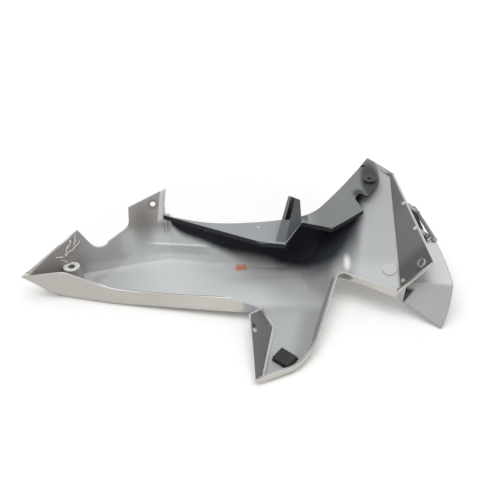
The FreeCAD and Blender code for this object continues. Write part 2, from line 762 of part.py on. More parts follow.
def nose_cowl(flange):
    """The pale cowl outside the wing's flange: a folded shell with a bar and three posts."""
    inward = Vector(-0.5, 0.6, -0.62).normalize() * COWL_SKIN
    brow = bowed_edge(COWL_HEAD, COWL_SHOULDER, COWL_THROAT, BROW_BULGE)
    cheek = bowed_edge(COWL_SHOULDER, COWL_TIP, COWL_THROAT, CHEEK_BULGE)
    fold = Part.makeLine(COWL_SHOULDER, COWL_THROAT)
    neck = in_plane(COWL_NECK, COWL_HEAD, COWL_SHOULDER, COWL_THROAT)
    heel = in_plane(COWL_HEEL, COWL_THROAT, COWL_SHOULDER, COWL_TIP)
    upper_rim = [brow, fold, Part.makeLine(COWL_THROAT, neck), Part.makeLine(neck, COWL_HEAD)]
    lower_rim = [cheek, Part.makeLine(COWL_TIP, heel), Part.makeLine(heel, COWL_THROAT), fold]
    upper = Part.Face(Part.Wire(upper_rim)).extrude(inward)
    lower = Part.Face(Part.Wire(lower_rim)).extrude(inward)
    ends = post_ends(flange)
    side = flange.normal(*SCREWS[0])
    along = (COWL_HEAD - ends[0]).normalize()
    bar_end = COWL_HEAD + along * BAR_OVERLAP + inward * 0.5
    bar = square_bar(ends[0] - along * BAR_HORN, bar_end, side, BAR_WIDTH, BAR_DEPTH)
    pieces = [lower, bar]
    for place, end in zip(SCREWS, ends):
        start = flange.at(*place) + flange.normal(*place) * SEAT
        pieces.append(Part.makeCylinder(POST_R, (end - start).Length, start, end - start))
    shape = upper.fuse(pieces)
    pilots = []
    for place in SCREWS:
        pilots.append(cylinder(flange.at(*place), flange.normal(*place), SCREW_R + SEAT, 5, SCREW_LENGTH))
    return shape.cut(pilots).removeSplitter()


def cowl_screws(flange):
    """The three screws that hold the nose cowl to the flange."""
    screws = []
    for place in SCREWS:
        normal = flange.normal(*place)
        thick = WALL * math.hypot(normal.x, normal.y)
        seat = flange.at(*place) - normal * (thick + SCREW_HEAD_GAP)
        head = Part.makeCylinder(SCREW_HEAD_R, SCREW_HEAD, seat, normal * -1)
        shank = Part.makeCylinder(SCREW_R, SCREW_LENGTH, seat, normal)
        screws.append(head.fuse(shank).removeSplitter())
    return Part.makeCompound(screws)


def cowl_foam(flange):
    """Strip of open foam from the flange's outer side to the nose cowl's bar."""
    lower = []
    upper = []
    for along, up, tall in (
        (0.3, 0.72, MESH_TOP),
        (0.7, 0.8, MESH_LOW),
        (0.7, 0.9, MESH_LOW),
        (0.3, 0.86, MESH_TOP),
    ):
        place = flange.at(along, up)
        normal = flange.normal(along, up)
        lower.append(place + normal * SEAT)
        upper.append(place + normal * tall)
    shape = block(lower, upper)
    for place in SCREWS[:2]:
        way = cylinder(flange.at(*place), flange.normal(*place), POST_R + SEAT, 10, POST_TOP_LENGTH)
        shape = shape.cut(way)
    return shape


def foam_pad(panel_corners):
    """Pad of foam glued to the arm's floor, cut off along the cove of the arm's wall."""
    floors = [corner.floor for corner in panel_corners]
    flat = plan_prism(inset(floors, [WALL + corner.cove + SEAT for corner in panel_corners]))
    half_length = PAD_LENGTH / 2
    half_width = PAD_WIDTH / 2
    corners = []
    for along, across in ((-1, -1), (-1, 1), (1, 1), (1, -1)):
        offset = Vector(along * half_length, across * half_width, 0)
        corners.append(Vector(PAD_X, PAD_Y, 0) + FreeCAD.Rotation(UP, PAD_TURN).multVec(offset))
    return layer(FLOOR_FACE, SKIN + SEAT, SKIN + SEAT + PAD_HEIGHT).common(plan_prism(corners)).common(flat)


def move_to_origin(pieces):
    """Move all pieces so that the middle of the part's underside is at the origin."""
    points = []
    for shape in pieces.values():
        points += shape.tessellate(0.1)[0]
    lows = [min(point[axis] for point in points) for axis in range(3)]
    highs = [max(point[axis] for point in points) for axis in range(3)]
    shift = Vector(-(lows[0] + highs[0]) / 2, -(lows[1] + highs[1]) / 2, -lows[2])
    print("moved by", [round(value, 3) for value in shift])
    for name in pieces:
        pieces[name] = pieces[name].translated(shift)


def main():
    os.makedirs("parts", exist_ok=True)
    corners = panel_corners()
    flange = WallFace(corners["wing_right"], corners["apex"])
    pieces = {
        "outer_panel": outer_panel(corners),
        "inner_trim": inner_trim(),
        "nose_cowl": nose_cowl(flange),
        "cowl_screws": cowl_screws(flange),
        "cowl_foam": cowl_foam(flange),
        "foam_pad": foam_pad(list(corners.values())),
    }
    move_to_origin(pieces)
    for name, shape in pieces.items():
        print(name, len(shape.Solids), shape.isValid(), round(shape.Volume))
        shape.exportStep(f"parts/{name}.step")


main()
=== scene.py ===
"""Looks of the motorcycle side fairing panel: materials, soft pieces, small details, light and camera."""

import math
import random
from types import SimpleNamespace

import bmesh
import bpy
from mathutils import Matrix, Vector
from mathutils.bvhtree import BVHTree


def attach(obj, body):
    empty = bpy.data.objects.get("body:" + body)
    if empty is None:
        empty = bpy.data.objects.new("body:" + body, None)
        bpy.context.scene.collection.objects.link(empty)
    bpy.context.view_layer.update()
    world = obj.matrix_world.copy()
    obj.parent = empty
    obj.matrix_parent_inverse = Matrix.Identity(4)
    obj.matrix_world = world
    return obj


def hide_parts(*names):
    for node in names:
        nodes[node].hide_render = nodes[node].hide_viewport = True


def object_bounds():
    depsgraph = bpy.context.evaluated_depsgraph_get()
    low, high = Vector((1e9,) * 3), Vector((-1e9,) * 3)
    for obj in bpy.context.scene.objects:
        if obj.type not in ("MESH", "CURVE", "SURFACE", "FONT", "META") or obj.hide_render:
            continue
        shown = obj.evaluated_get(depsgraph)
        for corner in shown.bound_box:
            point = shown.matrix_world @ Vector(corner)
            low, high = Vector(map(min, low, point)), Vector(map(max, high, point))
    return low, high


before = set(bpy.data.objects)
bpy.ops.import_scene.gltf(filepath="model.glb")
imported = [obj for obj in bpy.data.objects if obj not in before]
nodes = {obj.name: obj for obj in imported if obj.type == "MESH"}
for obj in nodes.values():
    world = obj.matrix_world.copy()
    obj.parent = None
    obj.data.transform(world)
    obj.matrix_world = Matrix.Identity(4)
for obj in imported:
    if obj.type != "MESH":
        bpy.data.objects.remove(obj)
cad_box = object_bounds()
MM = 0.001

# Camera of the photograph, in the part's frame, and the photograph's width in pixels
CAMERA_TARGET = Vector((21.5, 35.4, 40.3)) * MM
CAMERA_DISTANCE = 1.0
CAMERA_ELEVATION = math.radians(35.0)
CAMERA_LENS = 50.0
CAMERA_SENSOR = 36.0
CAMERA_CLIP = (0.01, 50.0)
PICTURE = 500.0

# Folds shallower than this are shaded smoothly, and points closer than the weld are one point
SHALLOW_FOLD = math.radians(32.0)
WELD = 0.005 * MM

# Edges: rays that find them, how far the rays for open edges reach, then how round they look and how wide
# the painted highlights along them are
EDGE_RAYS = 8
OPEN_RAYS = 6
OPEN_REACH = 8.0 * MM
PANEL_ROUND = 1.0 * MM
PANEL_HIGHLIGHT_EDGE = 1.6 * MM
TRIM_ROUND = 0.7 * MM
TRIM_HIGHLIGHT_EDGE = 0.9 * MM
COWL_ROUND = 1.2 * MM

# Depth of the fine grain of paint and plastics, and of the cells of the foams
GRAIN_DEPTH = 0.3 * MM
CELL_DEPTH = 0.6 * MM

# Direction of the spray's face, square to the part's X axis
SPRAY_Y = math.sin(CAMERA_ELEVATION)
SPRAY_Z = math.cos(CAMERA_ELEVATION)

# Lower edge of the black overspray and painted shadow: place along X and height along the spray's face, in
# mm
SPRAY_SHADOW_EDGE = (
    (-300, 190), (-102, 150), (-93, 92), (-79, 80), (-58, 72), (-36, 63), (-14, 54), (7, 48), (29, 44),
    (50, 39), (72, 30), (94, 27), (115, 28), (137, 37), (151, 50), (163, 63), (171, 74), (177, 90),
    (185, 120), (197, 170), (215, 240), (300, 300),
)

# Overspray and painted shadow: height of the ragged edge, where they fade in and are full, from the edge,
# in mm
SPRAY_SHADOW_RAGGED = 5.0
SPRAY_SHADOW_FADE = (-22, 9)

# Edge of the shaded end of the tail: height along the spray's face and place along X, in mm
TAIL_SHADE = ((-40, -222), (3, -196), (36, -165), (44, -159), (54, -166), (120, -140))

# Outer side of the near wall: place along X and along Y, in mm
NEAR_WALL = ((-300, -26), (-235, -22), (-166, -37), (-2, -61), (20, -62))

# Painted highlight and shade lines on the near rim and the back wall's ledge: middle, half width, soft
# edge, in mm
RIM_HIGHLIGHT_LINE = (1.2, 0.5, 0.5)
RIM_SHADE_LINE = (3.0, 0.4, 0.4)
LEDGE_SHADE_LINE = (50, 4, 4)
LEDGE_HIGHLIGHT_LINE = (57.5, 0.8, 1.8)
LEDGE_SLOPE = 0.05

# Arm, seen from above: rim and foot of its flange, painted dark as shade, and foot of its far wall, in mm
ARM_LOW = (26.5, -192.6)
ARM_LEFT = (20.0, -94.6)
ARM_TOP = (35.0, -80.6)
ARM_TOP_FOOT = (36.0, -71.6)
ARM_FOOT = (50.0, -102.6)
ARM_LOW_FOOT = (34.5, -192.6)
ARM_WALL_START = (130.0, 0.0)
ARM_WALL_END = (98.0, -150.0)

# Tab's end, wing's lip and the way that its flange faces, foot of the fin, dark corner of the cowl, in mm
TAB_END = -100.0
TAB_END_LEAN = 0.13
TAB_TOP = 112.3
TAB_STRIP = 7.0
TAB_STRIP_SOFT = 1.5
WING_LIP_START = (205.5, 191.4)
WING_LIP_END = (241.5, 153.4)
WING_FACING = (-0.77, -0.14, 0.62)
FIN_FOOT = 78.8
COWL_HEEL = (228.6, 21.6)
COWL_FOLD = (250.1, 41.8)

# Round marks, painted shades and a painted highlight: middle and radii of each, in mm
TAB_STAIN = ((-134, 90), (15, 26))
TAB_RING = ((-119.3, 91.8), (7.5, 7.5))
TAIL_BOSS = ((-230.5, 6.4), (12.5, 12.5))
ARM_SLOT = ((26.6, -112.5), (1.8, 5.0))
FLOOR_SHADE = ((95, -25), (45, 40))
WING_FOLD_HIGHLIGHT = ((157, 0), (3.8, 11.0))
WING_DENT = ((151.0, 39.5), (10.0, 4.5))
DAB_LEFT = ((5.4, 39.2), (5.4, 7.0))
DAB_RIGHT = ((12.8, 39.8), (4.8, 6.2))
TRIM_HOLE = ((32.8, 36.2), (4.4, 4.4))
LOBE = ((202, 130), (14, 40))
LOBE_HOLLOW = ((182, 103), (9, 8))

# Coats of paint and plastics, and painted shade on shaded faces: darker and paler color of each
SILVER = ((0.47, 0.485, 0.49), (0.55, 0.565, 0.57))
TAIL_SHADE_GREY = ((0.42, 0.415, 0.405), (0.48, 0.475, 0.465))
WARM_SHADE_GREY = ((0.30, 0.284, 0.274), (0.38, 0.36, 0.35))
FLANGE_SHADE_GREY = ((0.132, 0.129, 0.13), (0.185, 0.182, 0.182))
BOSS_WHITE = ((0.62, 0.61, 0.59), (0.95, 0.94, 0.92))
SPRAY_SHADOW_BLACK = ((0.011, 0.013, 0.017), (0.019, 0.021, 0.026))
OUTER_BEIGE = ((0.555, 0.533, 0.488), (0.61, 0.588, 0.542))
TRIM_GREY = ((0.31, 0.325, 0.335), (0.39, 0.405, 0.415))
TRIM_SIDE_SHADE = ((0.012, 0.013, 0.015), (0.022, 0.024, 0.027))
FIN_SIDE_SHADE = ((0.10, 0.108, 0.115), (0.14, 0.15, 0.158))
COWL_SILVER = ((0.47, 0.47, 0.48), (0.55, 0.55, 0.56))
COWL_SPECKLE = ((0.02, 0.02, 0.022), (0.35, 0.35, 0.34))
STEEL = ((0.80, 0.80, 0.79), (0.97, 0.97, 0.96))
STRIP_BLACK = ((0.012, 0.012, 0.013), (0.05, 0.05, 0.052))
PAD_BLACK = ((0.014, 0.014, 0.015), (0.06, 0.06, 0.061))
GLUE_WHITE = ((0.80, 0.79, 0.76), (0.95, 0.94, 0.91))

# Colors of marks, of painted highlights and of painted shade
STAIN_BROWN = (0.16, 0.14, 0.13)
TAB_END_PALE = (0.70, 0.69, 0.67)
RING_BROWN = (0.10, 0.09, 0.085)
SLOT_BLACK = (0.03, 0.03, 0.03)
LIP_BLACK = (0.10, 0.10, 0.10)
FOLD_HIGHLIGHT_WHITE = (0.97, 0.97, 0.96)
DAB_ORANGE = (1.0, 0.44, 0.27)
DENT_SHADOW_BROWN = (0.14, 0.13, 0.115)
RIM_HIGHLIGHT_WHITE = (0.93, 0.93, 0.91)
PALE_RIM_HIGHLIGHT = (0.97, 0.97, 0.95)
DARK_RIM_SHADE = (0.16, 0.14, 0.12)
HOLE_LIGHT_WHITE = (0.92, 0.92, 0.92)
DUST_GREY = (0.5, 0.5, 0.5)
TRIM_EDGE_HIGHLIGHT = (0.55, 0.56, 0.57)
SPECK_GREY = (0.6, 0.6, 0.6)

# Foams: cells to the metre, then the skin's mesh size, size of its lumps and their height, in mm
STRIP_CELLS = 900.0
PAD_CELLS = 1300.0
STRIP_SKIN = (0.6, 2.0, 0.5)
PAD_SKIN = (0.4, 3.0, 0.4)

# Seam between the two layers of the pad: slope of its plane along X and Y, its height and size, in mm
PAD_SLOPE = (0.0, 0.12)
PAD_SEAM = 30.0
PAD_SEAM_HALF = 1.3
PAD_SEAM_DEPTH = 2.2

# A place is on a side of the pad where the upright share of its normal is below this
PAD_SIDE = 0.75

# Glue left on the tail's flap: pixels of the photograph that each strand runs through
GLUE_STRANDS = (
    ((65, 257), (67, 248), (70, 243), (70, 239)),
    ((65, 257), (68, 252), (72, 250), (76, 245), (79, 242), (79, 240)),
    ((75, 235), (75, 241), (73, 246)),
    ((56, 258), (60, 257), (65, 257)),
    ((61, 260), (65, 261), (69, 263)),
)

# Glue: places along each run, wobble in pixels, radii in mm, sides, and lift as a share of the radius
GLUE_SEED = 4
GLUE_PLACES = 4
GLUE_WOBBLE = 0.3
GLUE_RADII = (0.55, 1.0)
GLUE_SIDES = 6
GLUE_LIFT = 0.6

# Floor: half its side and its drop below the part in metres, and its color in the light and as seen
FLOOR_HALF = 6.0
FLOOR_DROP = 0.3 * MM
FLOOR_LIT = (0.90, 0.90, 0.895)
FLOOR_SEEN = (1.0, 1.0, 0.995)
WHITE = (1.0, 1.0, 1.0, 1.0)

# Glow of the floor as seen: where it starts to rise and is full, in metres, and its level at each
GLOW_RADII = (0.26, 0.60)
GLOW_LEVELS = (0.04, 0.45)

# Soft room: upright share of a direction where its light starts to rise and is full, and its level at each
ROOM_HEIGHTS = (0.0, 0.9)
ROOM_LEVELS = (0.56, 0.66)

# Lamp above the part: its place, what it points at and its side in metres, and its power in watts
LAMP_PLACE = Vector((0.0, -0.25, 1.4))
LAMP_TARGET = Vector((0.0, 0.0, 0.0))
LAMP_SIZE = 1.2
LAMP_POWER = 9.0


# Node helpers

class Look:
    """One procedural material, built node by node."""

    def __init__(self, name):
        self.material = bpy.data.materials.new(name)
        self.material.use_nodes = True
        self.tree = self.material.node_tree
        self.tree.nodes.clear()
        self.output = self.tree.nodes.new("ShaderNodeOutputMaterial")
        self.shader = self.tree.nodes.new("ShaderNodeBsdfPrincipled")
        self.tree.links.new(self.shader.outputs[0], self.output.inputs[0])
        coords = self.tree.nodes.new("ShaderNodeTexCoord")
        self.place = coords.outputs["Object"]
        self.normal = coords.outputs["Normal"]

    def put(self, socket, value):
        """Link a socket to a node's output, or set it to a constant."""
        if isinstance(value, bpy.types.NodeSocket):
            self.tree.links.new(value, socket)
        else:
            socket.default_value = value

    def set(self, **values):
        """Set the shader's own sockets."""
        names = {
            "color": "Base Color",
            "rough": "Roughness",
            "metal": "Metallic",
            "bump": "Normal",
            "specular": "Specular IOR Level",
        }
        for key, value in values.items():
            self.put(self.shader.inputs[names[key]], value)

    def node(self, kind, inputs=None, **settings):
        made = self.tree.nodes.new(kind)
        for key, value in settings.items():
            setattr(made, key, value)
        for key, value in (inputs or {}).items():
            self.put(made.inputs[key], value)
        return made

    def math(self, operation, first, second=0.0):
        return self.node("ShaderNodeMath", {0: first, 1: second}, operation=operation).outputs[0]

    def both(self, *masks):
        """Product of masks."""
        product = masks[0]
        for mask in masks[1:]:
            product = self.math("MULTIPLY", product, mask)
        return product

    def either(self, *masks):
        """Largest of masks."""
        largest = masks[0]
        for mask in masks[1:]:
            largest = self.math("MAXIMUM", largest, mask)
        return largest

    def rest(self, mask):
        """1 where a mask is 0, and 0 where it is 1."""
        return self.math("SUBTRACT", 1.0, mask)

    def split(self, vector):
        made = self.node("ShaderNodeSeparateXYZ", {0: vector})
        return made.outputs[0], made.outputs[1], made.outputs[2]

    def millimetres(self):
        """Place on the part along X, Y and Z, in mm."""
        return tuple(self.math("MULTIPLY", axis, 1000.0) for axis in self.split(self.place))

    def share(self, value, low, high):
        """0 at low and 1 at high, straight between."""
        return self.node("ShaderNodeMapRange", {0: value, 1: low, 2: high, 3: 0.0, 4: 1.0}).outputs[0]

    def step(self, value, start, end):
        """0 at start and 1 at end, smooth between; start may be above end."""
        low, high = min(start, end), max(start, end)
        ends = (0.0, 1.0) if start < end else (1.0, 0.0)
        inputs = {0: value, 1: low, 2: high, 3: ends[0], 4: ends[1]}
        made = self.node("ShaderNodeMapRange", inputs, interpolation_type="SMOOTHSTEP")
        return made.outputs[0]

    def band(self, value, middle, half, soft):
        """1 within half of the middle, 0 further out than half and soft."""
        away = self.math("ABSOLUTE", self.math("SUBTRACT", value, middle))
        return self.step(away, half + soft, half)

    def distance(self, first, second):
        """Length of a flat vector."""
        return self.math("SQRT", self.math("ADD", self.both(first, first), self.both(second, second)))

    def spot(self, first, second, middle, radii, soft):
        """Round or oval patch with a soft edge."""
        across = self.math("DIVIDE", self.math("SUBTRACT", first, middle[0]), radii[0])
        along = self.math("DIVIDE", self.math("SUBTRACT", second, middle[1]), radii[1])
        return self.step(self.distance(across, along), 1.0 + soft, 1.0 - soft)

    def beyond(self, first, second, start, end):
        """Distance to the right of a line from start to end."""
        run = (end[0] - start[0], end[1] - start[1])
        length = math.hypot(*run)
        across = self.math("MULTIPLY", self.math("SUBTRACT", first, start[0]), run[1] / length)
        along = self.math("MULTIPLY", self.math("SUBTRACT", second, start[1]), run[0] / length)
        return self.math("SUBTRACT", across, along)

    def line(self, value, points):
        """Height, at a value, of a smooth line through (value, height) points."""
        low, high = points[0][0], points[-1][0]
        bottom = min(point[1] for point in points)
        tall = max(point[1] for point in points) - bottom
        made = self.node("ShaderNodeFloatCurve", {1: self.share(value, low, high)})
        curve = made.mapping.curves[0]
        for i, (at, height) in enumerate(points):
            spot = ((at - low) / (high - low), (height - bottom) / tall)
            if i in (0, len(points) - 1):
                curve.points[0 if i == 0 else -1].location = spot
            else:
                curve.points.new(*spot)
        made.mapping.update()
        return self.math("ADD", self.math("MULTIPLY", made.outputs[0], tall), bottom)

    def noise(self, scale, detail=3.0, rough=0.55):
        inputs = {"Scale": scale, "Detail": detail, "Roughness": rough, "Vector": self.place}
        return self.node("ShaderNodeTexNoise", inputs).outputs[0]

    def mix(self, share, first, second):
        """Color between two colors."""
        made = self.node("ShaderNodeMix", data_type="RGBA")
        self.put(made.inputs[0], share)
        for socket, color in ((made.inputs[6], first), (made.inputs[7], second)):
            self.put(socket, color if isinstance(color, bpy.types.NodeSocket) else (*color, 1.0))
        return made.outputs[2]

    def blend(self, share, first, second):
        """Number between two numbers."""
        return self.node("ShaderNodeMix", {0: share, 2: first, 3: second}, data_type="FLOAT").outputs[0]

    def shade(self, color, factor):
        """A color made darker or lighter by a factor."""
        made = self.node("ShaderNodeVectorMath", {0: color, "Scale": factor}, operation="SCALE")
        return made.outputs[0]

    def tint(self, color, mask, factor, elsewhere=1.0):
        """A color made darker or lighter where a mask is 1."""
        return self.shade(color, self.blend(mask, elsewhere, factor))

    def cover(self, color, mask, coat, share):
        """A share of another color over a color where a mask is 1."""
        return self.mix(self.math("MULTIPLY", mask, share), color, coat)

    def bump(self, height, strength, distance, normal=None):
        inputs = {"Height": height, "Strength": strength, "Distance": distance}
        if normal is not None:
            inputs["Normal"] = normal
        return self.node("ShaderNodeBump", inputs).outputs[0]

    def rounded(self, radius):
        """Normals of the surface as if its edges were rounded."""
        return self.node("ShaderNodeBevel", {0: radius}, samples=EDGE_RAYS).outputs[0]

    def highlight_edge(self, radius, start, end):
        """1 on edges, 0 on flat stretches."""
        smooth = self.rounded(radius)
        flat = self.node("ShaderNodeNewGeometry").outputs["Normal"]
        made = self.node("ShaderNodeVectorMath", {0: smooth, 1: flat}, operation="DOT_PRODUCT")
        return self.step(made.outputs["Value"], start, end)

    def facing(self, direction, start, end):
        """1 where the surface faces a direction in the part's frame."""
        made = self.node("ShaderNodeVectorMath", {0: self.normal, 1: direction}, operation="DOT_PRODUCT")
        return self.step(made.outputs["Value"], start, end)


def soft_normals():
    """Normals that run smoothly over shallow folds; the shape stays as it is."""
    group = bpy.data.node_groups.new("soft_normals", "GeometryNodeTree")
    for way in ("INPUT", "OUTPUT"):
        group.interface.new_socket("Geometry", in_out=way, socket_type="NodeSocketGeometry")
    made = {kind: group.nodes.new(kind) for kind in (
        "NodeGroupInput", "GeometryNodeRemoveAttribute", "GeometryNodeMergeByDistance", "NodeGroupOutput",
        "GeometryNodeInputMeshEdgeAngle", "FunctionNodeCompare",
    )}
    faces = group.nodes.new("GeometryNodeSetShadeSmooth")
    edges = group.nodes.new("GeometryNodeSetShadeSmooth")
    edges.domain = "EDGE"
    made["GeometryNodeRemoveAttribute"].inputs["Name"].default_value = "custom_normal"
    made["GeometryNodeMergeByDistance"].inputs["Distance"].default_value = WELD
    shallow = made["FunctionNodeCompare"]
    shallow.operation = "LESS_EQUAL"
    shallow.inputs[1].default_value = SHALLOW_FOLD
    group.links.new(made["GeometryNodeInputMeshEdgeAngle"].outputs[0], shallow.inputs[0])
    group.links.new(shallow.outputs[0], edges.inputs["Shade Smooth"])
    chain = (
        made["NodeGroupInput"], made["GeometryNodeRemoveAttribute"], made["GeometryNodeMergeByDistance"],
        faces, edges, made["NodeGroupOutput"],
    )
    for first, second in zip(chain, chain[1:]):
        group.links.new(first.outputs[0], second.inputs[0])
    return group


smooth_group = soft_normals()


# Objects

def link(made):
    bpy.context.scene.collection.objects.link(made)


def shade_smooth(mesh):
    for polygon in mesh.polygons:
        polygon.use_smooth = True


def paint(mesh, look):
    """Give a mesh one material."""
    mesh.materials.clear()
    mesh.materials.append(look.material)


def dress(name, look):
    """Material and soft normals of a node."""
    paint(nodes[name].data, look)
    smooth = nodes[name].modifiers.new("soft_normals", "NODES")
    smooth.node_group = smooth_group
    weighted = nodes[name].modifiers.new("weighted_normals", "WEIGHTED_NORMAL")
    weighted.keep_sharp = True


def add_piece(name, mesh, look):
    """New visible piece that moves with the part."""
    paint(mesh, look)
    piece = bpy.data.objects.new(name, mesh)
    link(piece)
    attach(piece, "root")
    return piece


# Camera, and where a pixel of the photograph lies on the part

def make_camera():
    back = Vector((0.0, -math.cos(CAMERA_ELEVATION), math.sin(CAMERA_ELEVATION)))
    data = bpy.data.cameras.new("camera")
    data.lens = CAMERA_LENS
    data.sensor_width = CAMERA_SENSOR
    data.clip_start, data.clip_end = CAMERA_CLIP
    made = bpy.data.objects.new("camera", data)
    made.location = CAMERA_TARGET + back * CAMERA_DISTANCE
    made.rotation_mode = "QUATERNION"
    made.rotation_quaternion = (-back).to_track_quat("-Z", "Y")
    link(made)
    bpy.context.scene.camera = made
    return made


def node_tree(name):
    """Faces of a node, ready for rays."""
    mesh = bmesh.new()
    mesh.from_mesh(nodes[name].data)
    tree = BVHTree.FromBMesh(mesh)
    mesh.free()
    return tree


camera = make_camera()
panel_tree = node_tree("outer_panel")


def on_panel(u, v):
    """Place and normal on the outer panel under a pixel of the photograph."""
    scale = CAMERA_SENSOR / CAMERA_LENS / PICTURE
    ray = Vector(((u - PICTURE / 2) * scale, (PICTURE / 2 - v) * scale, -1.0))
    aim = (camera.rotation_quaternion @ ray).normalized()
    place, normal, _, _ = panel_tree.ray_cast(camera.location, aim)
    return place, normal


# Material of the panel; a step's numbers are where it starts and is full, in mm, or shares of a normal

def panel_places(look):
    """Places, directions and clouds on the panel that its paint is set out from."""
    x, y, z = look.millimetres()
    nx, ny, nz = look.split(look.normal)
    face = look.math("ADD", look.math("MULTIPLY", y, SPRAY_Y), look.math("MULTIPLY", z, SPRAY_Z))
    near = look.math("SUBTRACT", y, look.line(x, NEAR_WALL))
    cloud = look.noise(14.0, 4.0)
    return SimpleNamespace(x=x, y=y, z=z, nx=nx, ny=ny, nz=nz, face=face, near=near, cloud=cloud)


def outer_side(look, at):
    """Underside, near wall, back walls, near side of the wing, far side and end of the arm."""
    return look.either(
        look.step(at.nz, -0.3, -0.55),
        look.both(look.step(at.x, 15, 11), look.step(at.ny, -0.2, -0.5), look.step(at.near, 6, 3)),
        look.both(look.step(at.y, 38, 42), look.step(at.ny, 0.2, 0.5)),
        look.both(look.step(at.nx, -0.2, -0.4), look.step(at.ny, 0.2, 0.4)),
        look.both(look.step(at.x, 90, 100), look.step(at.ny, -0.45, -0.6), look.step(at.y, 5, -5)),
        look.both(look.step(at.x, 70, 80), look.step(at.y, 0, -10), look.step(at.nx, 0.3, 0.6)),
        look.both(look.step(at.y, -120, -130), look.step(at.ny, -0.3, -0.6)),
    )


def wing_flange(look, at):
    return look.both(look.step(at.x, 205, 208), look.facing(WING_FACING, 0.95, 0.98))


def wing_lip(look, at):
    away = look.beyond(at.x, at.y, WING_LIP_END, WING_LIP_START)
    return look.both(look.step(away, -2.2, -1.4), look.step(at.y, 140, 150))


def arm_flange(look, at):
    """The flange of the arm, inside its pale rim, where dark shade is painted."""
    left = look.beyond(at.x, at.y, ARM_LOW, ARM_LEFT)
    top = look.beyond(at.x, at.y, ARM_LEFT, ARM_TOP)
    right = look.beyond(at.x, at.y, ARM_TOP_FOOT, ARM_FOOT)
    foot = look.beyond(at.x, at.y, ARM_FOOT, ARM_LOW_FOOT)
    return look.both(
        look.step(left, 1.6, 2.4),
        look.step(top, 1.6, 2.4),
        look.step(right, -1.0, 0.5),
        look.step(foot, -1.0, 0.5),
        look.step(at.nz, 0.1, 0.3),
    )


def overspray_and_shadow(look, at):
    """Black overspray below the tab, with the painted shadow under the trim: its edge is ragged, crisper
    to the left and softer at the wing.
    """
    ragged = look.math("MULTIPLY", look.math("SUBTRACT", look.noise(60.0, 5.0, 0.65), 0.5), SPRAY_SHADOW_RAGGED)
    depth = look.math("ADD", look.math("SUBTRACT", at.face, look.line(at.x, SPRAY_SHADOW_EDGE)), ragged)
    crisp = look.both(
        look.blend(look.step(at.x, -45, 25), 2.4, 1.0), look.blend(look.step(at.x, 140, 165), 1.0, 0.42)
    )
    below = look.either(look.step(at.x, -80, -60), look.step(at.z, 74, 68))
    return look.both(look.step(look.math("MULTIPLY", depth, crisp), *SPRAY_SHADOW_FADE), below)


def inner_paint(look, at, wing, arm):
    """Silver, paler in the trough and where painted light makes up for the trim's shadow, with painted
    shade at the tail, on flap and tab and on the flanges.
    """
    color = look.mix(at.cloud, *SILVER)
    trough = look.both(look.step(at.x, 130, 70), look.step(at.y, -70, -50))
    color = look.tint(color, trough, 1.33, elsewhere=0.90)
    wing_floor = look.both(look.step(at.x, 140, 165), look.step(at.y, 10, -20))
    color = look.tint(color, wing_floor, 1.18)
    # Painted light: paler floor under the trim, making up for the trim's shadow
    under_trim_light = look.both(
        look.step(at.x, -40, 0),
        look.step(at.x, 100, 70),
        look.step(at.y, 10, 30),
        look.step(at.nz, 0.6, 0.9),
    )
    color = look.tint(color, under_trim_light, 1.25)
    color = look.tint(color, look.step(at.x, -90, -180), 0.76)
    color = look.tint(color, look.step(at.y, -140, -175), 0.84)
    # Painted shade: greyer end of the tail, where its floor tilts away from the light
    tail = look.step(look.math("SUBTRACT", at.x, look.line(at.face, TAIL_SHADE)), 5, -5)
    color = look.mix(tail, color, look.mix(at.cloud, *TAIL_SHADE_GREY))
    # Painted shade: brownish dark grey on the steep faces of the flap and the tab
    flap = look.both(look.step(at.x, -205, -228), look.step(at.nz, 0.8, 0.5))
    tab = look.both(look.step(at.face, 72, 92), look.step(at.x, -95, -100))
    warm_shade = look.either(flap, look.math("MULTIPLY", tab, 0.95))
    color = look.mix(warm_shade, color, look.mix(at.cloud, *WARM_SHADE_GREY))
    # Painted shade: dark grey on the steep flanges, a little paler on the wing's
    flange_shade = look.tint(look.mix(at.cloud, *FLANGE_SHADE_GREY), wing, 1.12, elsewhere=0.95)
    return look.mix(look.either(wing, arm), color, flange_shade)


def add_tab_marks(look, at, color):
    """Painted shade and highlight along the back wall's ledge, stain under the tab, pale end of the tab
    and ring round its hole.
    """
    ledge = look.math("ADD", at.face, look.math("MULTIPLY", at.x, LEDGE_SLOPE))
    stretch = look.both(
        look.step(at.x, -145, -105), look.step(at.x, -28, -55), look.step(at.ny, -0.4, -0.7)
    )
    # Painted shade just below the ledge, and a painted highlight along it
    color = look.tint(color, look.both(stretch, look.band(ledge, *LEDGE_SHADE_LINE)), 0.84)
    color = look.tint(color, look.both(stretch, look.band(ledge, *LEDGE_HIGHLIGHT_LINE)), 1.4)
    color = look.cover(color, look.spot(at.x, at.face, *TAB_STAIN, 0.7), STAIN_BROWN, 0.6)
    end = look.math("ADD", at.x, look.math("MULTIPLY", look.math("SUBTRACT", TAB_TOP, at.z), TAB_END_LEAN))
    strip_start = TAB_END - TAB_STRIP
    strip = look.both(
        look.step(end, strip_start - TAB_STRIP_SOFT, strip_start),
        look.step(at.z, 60, 72),
        look.step(at.x, -90, -94),
    )
    color = look.mix(strip, color, TAB_END_PALE)
    ring = look.both(look.spot(at.x, at.z, *TAB_RING, 0.25), look.step(at.y, 60, 70))
    return look.cover(color, ring, RING_BROWN, 0.45)


